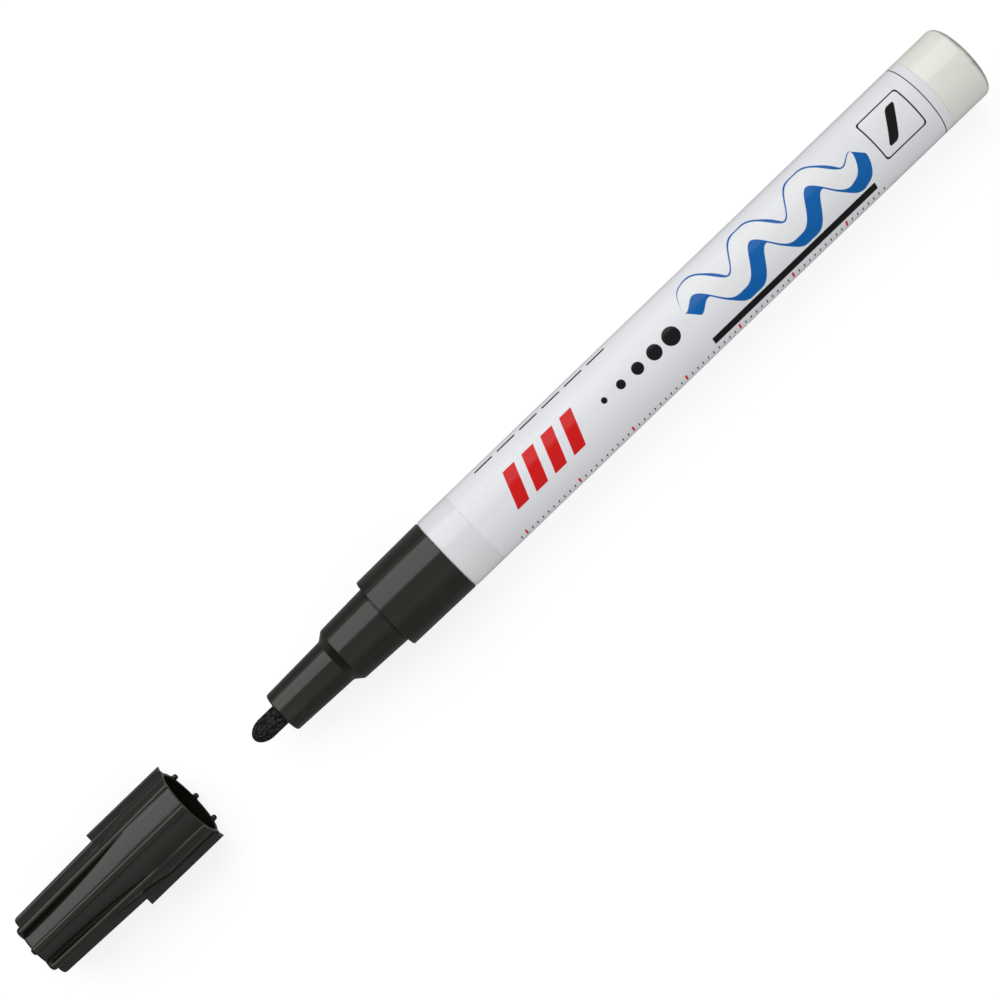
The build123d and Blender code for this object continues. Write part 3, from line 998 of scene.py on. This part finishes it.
label_outer = (LABEL_HIGH.y - LABEL_LOW.y) / 2
label_inner = LABEL_SEAT + LABEL_GAP
label_outline = [
    (LABEL_LOW.x, label_inner), (LABEL_LOW.x, label_outer), (LABEL_HIGH.x, label_outer),
    (LABEL_HIGH.x, label_inner), (LABEL_LOW.x, label_inner),
]
label_rounds = [((end, label_outer), FILM_ROUND, FEW_STEPS) for end in (LABEL_LOW.x, LABEL_HIGH.x)]
label = turn_piece("label_film", label_outline, label_rounds)


def on_lap(co):
    """True on the outer face of the film, where it laps over its beginning."""
    offset = co - spot(0, 0)
    out = math.hypot(offset.y, offset.z) / MM
    turn = math.atan2(-offset.y, offset.z)
    return out > label_inner + FILM_ROUND and abs(turn - LAP_ANGLE) < LAP_HALF


select_where(label, on_lap)
lap_scale = 1 + LAP_RISE / label_outer
bpy.ops.transform.resize(value=(1, lap_scale, lap_scale), center_override=spot(0, 0))
finish_piece(label, "marker", "label_sleeve", LABEL_FINISH)

# %% [markdown]
# The tail is a plug. Its head is as wide as the barrel and has a soft round edge, and its shank
# holds in the barrel with two low beads.

# %% Tail plug
TAIL_ROUND, TAIL_ROUND_STEPS = 0.9, 8
HEAD_ROUND, HEAD_ROUND_STEPS = 0.1, 3
TAIL_WALL = 1.5
PLUG_BORE = 4.03
SHANK_R = 4.91
PLUG_LEAD = 0.6
BEAD_WIDTH, BEAD_SPACING = 1.2, 3.2

head_front = BARREL_HIGH.x
tail_corner = (TAIL_HIGH.x, BARREL_R)
tail_outline = [(TAIL_HIGH.x - TAIL_WALL, 0.0), (TAIL_HIGH.x - TAIL_WALL, PLUG_BORE),
                (TAIL_LOW.x, PLUG_BORE), (TAIL_LOW.x, SHANK_R - PLUG_LEAD / 2),
                (TAIL_LOW.x + PLUG_LEAD, SHANK_R)]
for index in range(2):
    bead_start = TAIL_LOW.x + PLUG_LEAD + BEAD_WIDTH / 2 + index * BEAD_SPACING
    tail_outline += [(bead_start, SHANK_R), (bead_start + BEAD_WIDTH / 2, SPIGOT_R),
                     (bead_start + BEAD_WIDTH, SHANK_R)]
tail_outline += [(head_front, SHANK_R), (head_front, BARREL_R), tail_corner, (TAIL_HIGH.x, 0.0)]
tail_rounds = (
    (tail_corner, TAIL_ROUND, TAIL_ROUND_STEPS), ((head_front, BARREL_R), HEAD_ROUND, HEAD_ROUND_STEPS)
)
tail = turn_piece("tail_end", tail_outline, tail_rounds)
finish_piece(tail, "marker", "tail_plug", TAIL_FINISH)

# %% [markdown]
# The valve spring is a wire circle that a Screw modifier winds along the axis. Pressing the nib shortens
# it towards the cup's end wall, which stays where it is; here only the share of its length that is left is
# worked out, and the spring gets a mesh of its own.

# %% Valve spring
WIRE_R, WIRE_SIDES = 0.2, 14
COIL_R = 1.45
COIL_TURNS = 5
STEPS_PER_TURN = 28

coil_start = SPRING_LOW.x + WIRE_R
coil_length = SPRING_HIGH.x - SPRING_LOW.x - 2 * WIRE_R
leave_edit_mode()
bpy.ops.mesh.primitive_circle_add(
    vertices=WIRE_SIDES, radius=WIRE_R * MM, location=spot(coil_start, 0), rotation=(math.pi / 2, 0, 0)
)
spring = name_piece("spring_coil")
bpy.ops.object.transform_apply(location=False, rotation=True, scale=True)
bpy.ops.object.mode_set(mode="EDIT")
select_whole()
bpy.ops.transform.translate(value=(0, 0, COIL_R * MM))
bpy.ops.object.mode_set(mode="OBJECT")
coil_steps = STEPS_PER_TURN * COIL_TURNS
apply_modifier(
    spring, "SCREW", axis="X", angle=math.tau * COIL_TURNS, screw_offset=coil_length * MM,
    steps=coil_steps, render_steps=coil_steps,
)
bpy.ops.object.transform_apply(location=True, rotation=False, scale=False)
bpy.ops.object.mode_set(mode="EDIT")
select_whole()
bpy.ops.mesh.fill_holes(sides=0)
face_outwards()
finish_piece(spring, "marker", "valve_spring", WIRE)

nib_joint = next(joint for joint in frame["joints"] if joint["name"] == "nib_press")
nib_travel = nib_joint["range_m"][1] / MM
left_length = 1 - nib_travel / (SPRING_HIGH.x - SPRING_LOW.x)
spot(SPRING_HIGH.x, 0)
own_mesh(spring)
print(f"spring keeps {left_length:.3f} of its length when the nib is pressed by {nib_travel:.1f} mm")

# %% [markdown]
# The cap is the hardest piece. Its body is turned: a straight skirt at the mouth that sweeps in to
# a slim waist along one long hollow curve. It starts as a full solid, because ribs, fins and nubs
# are joined to it first and the inside is cut out of the whole at the end.

# %% Cap body
CAP_LENGTH = 28.5
CAP_MOUTH_R, CAP_SKIRT = 5.45, 8.2
CAP_END_R = 3.79
WAIST_SAG, WAIST_STEPS = 0.4, 24
RIM_ROUND, RIM_STEPS = 0.13, 3
END_ROUND, END_STEPS = 0.35, 4

cap_end = CAP_LOW.x
cap_mouth = cap_end + CAP_LENGTH
skirt_end = cap_mouth - CAP_SKIRT
cap_outline = [(cap_mouth, 0.0), (cap_mouth, CAP_MOUTH_R)]
for step in range(WAIST_STEPS + 1):
    share = step / WAIST_STEPS
    station = skirt_end + share * (cap_end - skirt_end)
    straight = CAP_MOUTH_R + share * (CAP_END_R - CAP_MOUTH_R)
    cap_outline.append((station, straight - 4 * WAIST_SAG * share * (1 - share)))
cap_outline.append((cap_end, 0.0))
cap_rounds = (
    ((cap_mouth, CAP_MOUTH_R), RIM_ROUND, RIM_STEPS), ((cap_end, CAP_END_R), END_ROUND, END_STEPS)
)
cap = turn_piece("cap_moulding", cap_outline, cap_rounds)
leave_edit_mode()
print("cap body turned:", len(cap.data.polygons), "faces")

# %% [markdown]
# Eight straight ribs stand on the body from the mouth to the closed end. One is made from a cube:
# its crest is lowered towards the closed end, that end is rounded, and both long edges of the
# crest get a generous round, which catches the light. Spin then copies it round the axis.

# %% Cap ribs
RIB_COUNT = 8
RIB_WIDTH, RIB_MOUTH_R, RIB_END_R = 1.15, 5.84, 5.05
RIB_ROOT_R = 3.3
RIB_EDGE, RIB_END_ROUND, RIB_ROUND_STEPS = 0.42, 0.55, 6
ROOT_MARGIN = 0.1
SHY = 0.02


def round_edges(piece, size, segments, test):
    """Round the edges whose two ends pass a test."""
    bpy.ops.mesh.select_mode(type="EDGE")
    bpy.ops.mesh.select_all(action="DESELECT")
    mesh = bmesh.from_edit_mesh(piece.data)
    for edge in mesh.edges:
        if test(edge.verts[0].co, edge.verts[1].co):
            edge.select_set(True)
    bmesh.update_edit_mesh(piece.data)
    bpy.ops.mesh.bevel(offset=size * MM, segments=segments, affect="EDGES")


def copy_round(count, first_turn, whole_turn):
    """Turn the whole mesh about the axis, then copy it on, so that it is there count times."""
    select_whole()
    bpy.ops.transform.rotate(value=first_turn, orient_axis="X", center_override=spot(0, 0))
    bpy.ops.mesh.spin(steps=count - 1, dupli=True, angle=whole_turn, center=spot(0, 0), axis=(1, 0, 0))


leave_edit_mode()
rib_start, rib_stop = cap_end + SHY, cap_mouth - SHY
bpy.ops.mesh.primitive_cube_add(
    size=MM,
    location=spot((rib_start + rib_stop) / 2, (RIB_ROOT_R + RIB_MOUTH_R) / 2),
    scale=(rib_stop - rib_start, RIB_WIDTH, RIB_MOUTH_R - RIB_ROOT_R),
)
ribs = edit_piece("cap_ribs")
low_crest = spot(0, (RIB_ROOT_R + RIB_MOUTH_R) / 2).z
far_half = (rib_start + rib_stop) / 2 * MM
select_where(ribs, lambda co: co.x < far_half and co.z > low_crest)
bpy.ops.transform.translate(value=(0, 0, (RIB_END_R - RIB_MOUTH_R) * MM))
above_root = spot(0, RIB_ROOT_R + ROOT_MARGIN).z
round_edges(
    ribs, RIB_END_ROUND, RIB_ROUND_STEPS,
    lambda a, b: max(a.x, b.x) < far_half and min(a.z, b.z) > above_root,
)
round_edges(
    ribs, RIB_EDGE, RIB_ROUND_STEPS,
    lambda a, b: abs(a.y - b.y) < WELD and min(a.z, b.z) > above_root,
)
copy_round(RIB_COUNT, 0.0, math.tau * (RIB_COUNT - 1) / RIB_COUNT)
leave_edit_mode()
print("ribs:", len(ribs.data.polygons), "faces")

# %% [markdown]
# Two fins stand on the sides near the mouth. Their flanks run out into the body in a hollow round
# and their mouth ends, a little behind the rim, are cut at a slant. The section is drawn flat,
# filled and extruded along the cap; Bisect makes the slant. The fin is made on top and turned to
# the side.

# %% Cap fins
FIN_LENGTH, FIN_R = 13.2, 6.5
FIN_HALF, FIN_SPREAD = 0.8, 0.25
FIN_ROOT_R, FIN_BASE_R = 5.2, 4.2
FIN_EDGE, FIN_OVERHANG, FIN_SETBACK = 0.25, 0.3, 0.3
FIN_ARC_STEPS, FIN_ROUND_STEPS = 4, 4

fin_start = cap_mouth - FIN_LENGTH
flank = []
for step in range(FIN_ARC_STEPS + 1):
    turn = math.pi / 2 * step / FIN_ARC_STEPS
    spread_out = FIN_SPREAD * (1 - math.sin(turn))
    rise = FIN_SPREAD * (1 - math.cos(turn))
    flank.append((FIN_HALF + spread_out, FIN_ROOT_R + rise))
half_section = [(FIN_HALF + FIN_SPREAD, FIN_BASE_R), *flank, (FIN_HALF, FIN_R)]
section = half_section + [(-side, out) for side, out in reversed(half_section)]

section_places = [Vector((fin_start, side, AXIS_Z + out)) * MM for side, out in section]
fins = draw_line("cap_fins", section_places)
crest_height = spot(0, FIN_R).z - WELD
select_where(fins, lambda co: co.z > crest_height)
bpy.ops.mesh.bevel(offset=FIN_EDGE * MM, segments=FIN_ROUND_STEPS, affect="VERTICES")
select_whole()
bpy.ops.mesh.edge_face_add()
bpy.ops.mesh.extrude_region_move(TRANSFORM_OT_translate={"value": (2 * FIN_LENGTH * MM, 0, 0)})
face_outwards()
slant = (FIN_R - FIN_ROOT_R, 0.0, -FIN_OVERHANG)
fin_front = spot(cap_mouth - FIN_SETBACK, FIN_ROOT_R)
bpy.ops.mesh.bisect(plane_co=fin_front, plane_no=slant, use_fill=True, clear_outer=True)
copy_round(2, math.pi / 2, math.pi)
face_outwards()
leave_edit_mode()
print("fins:", len(fins.data.polygons), "faces")

# %% [markdown]
# Three small round nubs stand at the mouth ends of the lower ribs. They meet the collar when the
# cap is pushed on. Each is a short pin with a domed end.

# %% Cap nubs
NUB_R, NUB_HEIGHT, NUB_ROOT = 0.4, 0.55, 0.5
NUB_DOME, NUB_DOME_STEPS, NUB_SIDES = 0.3, 5, 32
NUB_CIRCLE = 5.46

leave_edit_mode()
bpy.ops.mesh.primitive_cylinder_add(
    vertices=NUB_SIDES,
    radius=NUB_R * MM,
    depth=(NUB_HEIGHT + NUB_ROOT) * MM,
    location=spot(cap_mouth + (NUB_HEIGHT - NUB_ROOT) / 2, -NUB_CIRCLE),
    rotation=(0, math.pi / 2, 0),
)
nubs = edit_piece("cap_nubs")
front = (cap_mouth + NUB_HEIGHT) * MM - WELD
round_edges(nubs, NUB_DOME, NUB_DOME_STEPS, lambda a, b: min(a.x, b.x) > front)
copy_round(3, -math.pi / 4, math.pi / 2)
leave_edit_mode()
print("nubs:", len(nubs.data.polygons), "faces")

# %% [markdown]
# The inside is a turned cutter: a bore for the stepped nose, a narrower seat for the liner, and a
# well for the nib. Its mouth has a small chamfer, so that the rim shows a fine bright line. The
# Boolean modifiers are applied one by one, the slivers that they leave are merged away, and
# weighted normals keep the flat flanks flat.

# %% Cap inside, and the whole cap
CAP_BORE = 4.95
BORE_DEPTH, NECK_DEPTH, NECK_R = 7.85, 9.15, 4.57
SEAT_FRONT_R, SEAT_REAR_R, WELL_R = 3.94, 3.64, 2.95
SEAT_REAR_DEPTH, FLOOR_DEPTH = 18.99, 27.4
RIM_CHAMFER = 0.1
CLEAR_OF_MOUTH = 1.5

well = [
    (-CLEAR_OF_MOUTH, 0.0), (-CLEAR_OF_MOUTH, CAP_BORE), (-WELD / MM, CAP_BORE),
    (-WELD / MM, CAP_BORE + RIM_CHAMFER), (RIM_CHAMFER, CAP_BORE), (BORE_DEPTH, CAP_BORE),
    (NECK_DEPTH, NECK_R), (NECK_DEPTH, SEAT_FRONT_R), (SEAT_REAR_DEPTH, SEAT_REAR_R),
    (SEAT_REAR_DEPTH + SEAT_REAR_R - WELL_R, WELL_R), (FLOOR_DEPTH, WELL_R), (FLOOR_DEPTH, 0.0),
]
cutter = turn_piece("cap_cutter", [(cap_mouth - depth, out) for depth, out in well])
leave_edit_mode()

bpy.context.view_layer.objects.active = cap
for tool, operation in ((ribs, "UNION"), (fins, "UNION"), (nubs, "UNION"), (cutter, "DIFFERENCE")):
    apply_modifier(cap, "BOOLEAN", operation=operation, solver="EXACT", object=tool)
    bpy.data.objects.remove(tool)
    print(operation.lower(), "leaves", len(cap.data.polygons), "faces")
bpy.ops.object.mode_set(mode="EDIT")
select_whole()
bpy.ops.mesh.remove_doubles(threshold=WELD)
bpy.ops.mesh.dissolve_degenerate(threshold=WELD)
leave_edit_mode()

finish_piece(cap, "cap", "cap_shell", CAP_FINISH)
apply_modifier(cap, "WEIGHTED_NORMAL", keep_sharp=True)
print("cap joined:", len(cap.data.polygons), "faces")
